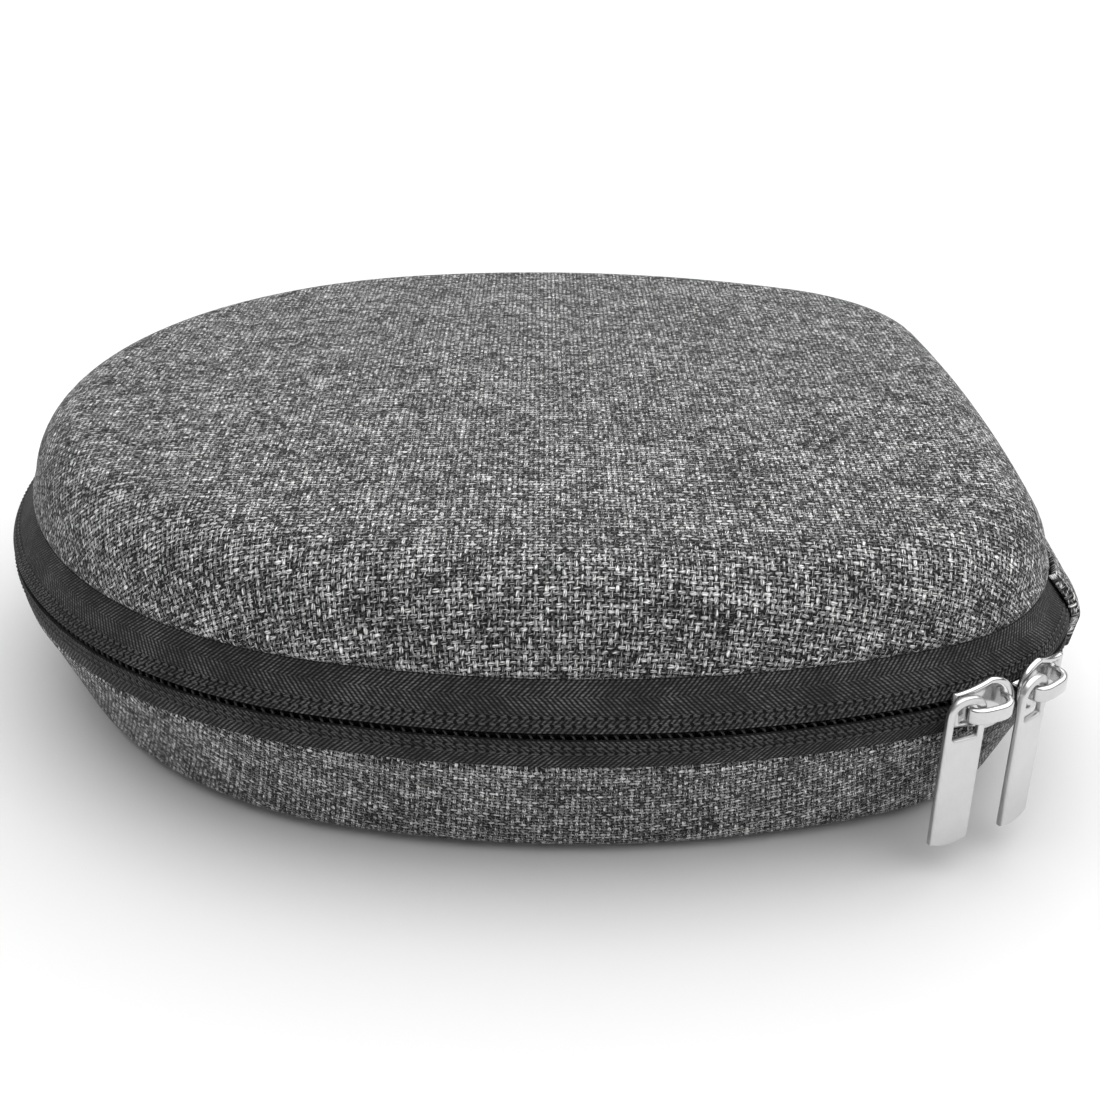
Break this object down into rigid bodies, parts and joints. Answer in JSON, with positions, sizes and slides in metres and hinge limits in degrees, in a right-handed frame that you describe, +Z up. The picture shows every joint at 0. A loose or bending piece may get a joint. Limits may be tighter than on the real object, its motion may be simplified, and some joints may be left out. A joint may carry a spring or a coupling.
{
  "type": "headphone carrying case",
  "caption": "Hard moulded carrying case for headphones: fabric covered lid and base joined by a fabric hinge and closed round the rim by a zip with two sliders.",
  "frame": {"origin": "on the surface that the case stands on, under the middle of its box", "axes": "+Z up, +Y towards the hinge, +X towards the long side that ends in the zip sliders' corner"},
  "size_m": [0.188, 0.207, 0.057],
  "materials": {
    "melange_fabric": "dark grey melange plain weave with light flecks",
    "foam": "moulded closed-cell foam",
    "lining_fabric": "short brushed knit",
    "zip_tape": "black herringbone woven tape",
    "zip_coil": "black nylon monofilament",
    "coil_cord": "twisted filler cord",
    "binding_tape": "ribbed binding tape",
    "pocket_mesh": "knitted net",
    "elastic_band": "ribbed elastic",
    "slider_metal": "bright plated zinc alloy",
    "pull_metal": "satin plated zinc alloy"
  },
  "bodies": {
    "base": {"base_fabric_cover": "melange_fabric", "base_foam_shell": "foam", "base_lining": "lining_fabric", "base_zip_tape": "zip_tape", "base_zip_coil": "zip_coil", "base_coil_cord": "coil_cord", "base_rim_binding": "binding_tape", "hinge_strip_lower": "melange_fabric", "hinge_lining_lower": "lining_fabric"},
    "lid": {"lid_fabric_cover": "melange_fabric", "lid_foam_shell": "foam", "lid_lining": "lining_fabric", "lid_zip_tape": "zip_tape", "lid_zip_coil": "zip_coil", "lid_coil_cord": "coil_cord", "lid_rim_binding": "binding_tape", "hinge_strip_upper": "melange_fabric", "hinge_lining_upper": "lining_fabric", "mesh_pocket": "pocket_mesh", "pocket_elastic": "elastic_band"},
    "front_slider": {"front_slider_body": "slider_metal", "front_slider_bail": "slider_metal"},
    "front_pull": {"front_slider_pull": "pull_metal"},
    "rear_slider": {"rear_slider_body": "slider_metal", "rear_slider_bail": "slider_metal"},
    "rear_pull": {"rear_slider_pull": "pull_metal"}
  },
  "joints": [
    {"name": "lid_hinge", "type": "hinge", "parent": "base", "child": "lid", "pos_m": [0, 0.1036, 0.031], "axis": [-1, 0, 0], "range_deg": [0, 170]},
    {"name": "front_slider_travel", "type": "hinge", "parent": "base", "child": "front_slider", "pos_m": [-0.087, 0.00898, 0.031], "axis": [0, 0, 1], "range_deg": [-34, 0]},
    {"name": "rear_slider_travel", "type": "hinge", "parent": "base", "child": "rear_slider", "pos_m": [0.0413, 0.05703, 0.031], "axis": [0, 0, 1], "range_deg": [0, 20]},
    {"name": "front_pull_swing", "type": "hinge", "parent": "front_slider", "child": "front_pull", "pos_m": [0.0829, 0.0715, 0.031], "axis": [0.9314, 0.364, 0], "range_deg": [-95, 4]},
    {"name": "rear_pull_swing", "type": "hinge", "parent": "rear_slider", "child": "rear_pull", "pos_m": [0.07708, 0.08289, 0.031], "axis": [0.76, 0.6499, 0], "range_deg": [-4, 30]}
  ]
}
